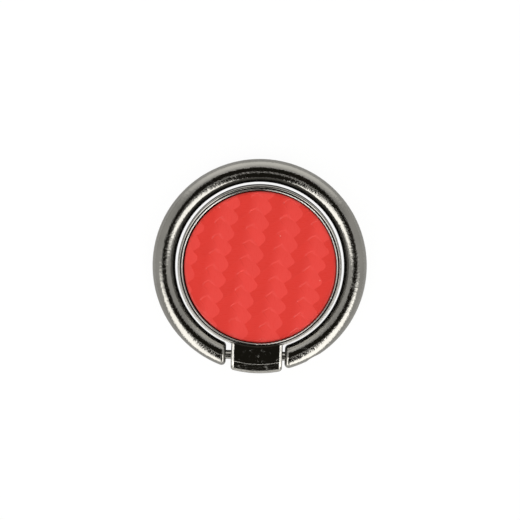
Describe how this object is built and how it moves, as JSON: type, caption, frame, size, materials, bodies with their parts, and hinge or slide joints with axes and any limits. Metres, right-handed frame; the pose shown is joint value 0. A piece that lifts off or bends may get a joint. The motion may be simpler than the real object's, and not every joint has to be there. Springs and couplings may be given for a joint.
{
  "type": "phone ring holder",
  "caption": "Stick-on phone grip: a round base with a red twill disc, a swivelling collar with a hinge block, and an oval-section finger ring that folds flat or flips up.",
  "frame": {"origin": "on the swivel axis, at the adhesive pad's sticking face", "axes": "+Z away from the phone along the swivel axis, -Y from the axis to the hinge block, X along the hinge pin"},
  "size_m": [0.04, 0.04, 0.0049],
  "materials": {
    "gunmetal": "polished dark nickel plating on cast zinc",
    "gunmetal_cup": "polished dark nickel plating on pressed steel",
    "cast_base": "satin dark plating on cast zinc",
    "steel": "ground steel",
    "red_twill": "glossy red film embossed with a carbon cloth twill",
    "foam_adhesive": "matt closed-cell acrylic foam",
    "glide_film": "milky low-friction film",
    "nylon": "natural nylon",
    "glue_film": "clear acrylic adhesive"
  },
  "bodies": {
    "base": {"adhesive_pad": "foam_adhesive", "base_plate": "cast_base", "glide_washer": "glide_film", "spring_washer": "steel", "cover_cup": "gunmetal_cup", "disc_adhesive": "glue_film", "twill_disc": "red_twill"},
    "collar": {"swivel_collar": "gunmetal", "damping_sleeve": "nylon"},
    "ring": {"finger_ring": "gunmetal", "hinge_pin": "steel"}
  },
  "joints": [
    {"name": "collar_swivel", "type": "hinge", "parent": "base", "child": "collar", "pos_m": [0, 0, 0], "axis": [0, 0, 1], "continuous": true},
    {"name": "ring_flip", "type": "hinge", "parent": "collar", "child": "ring", "pos_m": [0, -0.01682, 0.0025], "axis": [1, 0, 0], "range_deg": [0, 180]}
  ]
}
